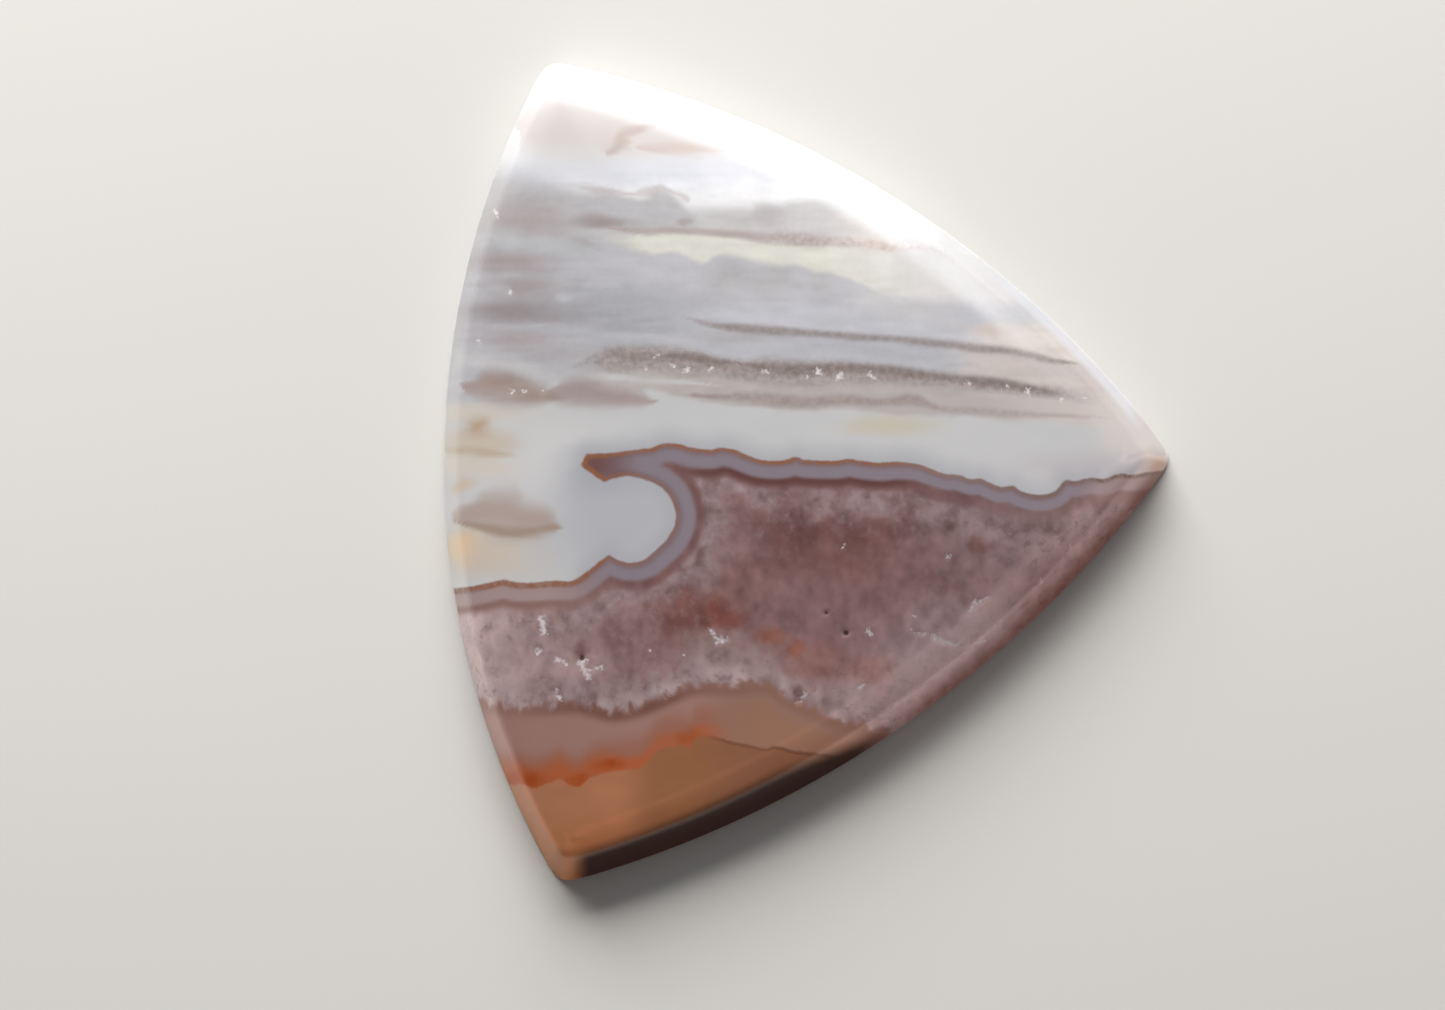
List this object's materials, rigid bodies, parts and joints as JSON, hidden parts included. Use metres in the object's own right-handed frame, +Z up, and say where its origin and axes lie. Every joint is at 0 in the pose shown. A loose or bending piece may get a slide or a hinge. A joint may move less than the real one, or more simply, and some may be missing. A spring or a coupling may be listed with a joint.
{
  "type": "banded agate cabochon",
  "caption": "Polished slab of banded agate cut to a triangle with three curved sides, with a flat base, a flared wall, a bevelled shoulder and a low dome.",
  "frame": {"origin": "middle of the outline's box, on the flat base, so that the stone stands on Z = 0", "axes": "+Z up through the dome, +Y along the long way between the two pointed corners, +X towards the third corner"},
  "size_m": [0.0364, 0.041, 0.0044],
  "materials": {
    "polished_agate": "polished, banded white, lavender-grey, mauve and tan, partly translucent"
  },
  "bodies": {
    "root": {"agate_cabochon": "polished_agate"}
  },
  "joints": []
}
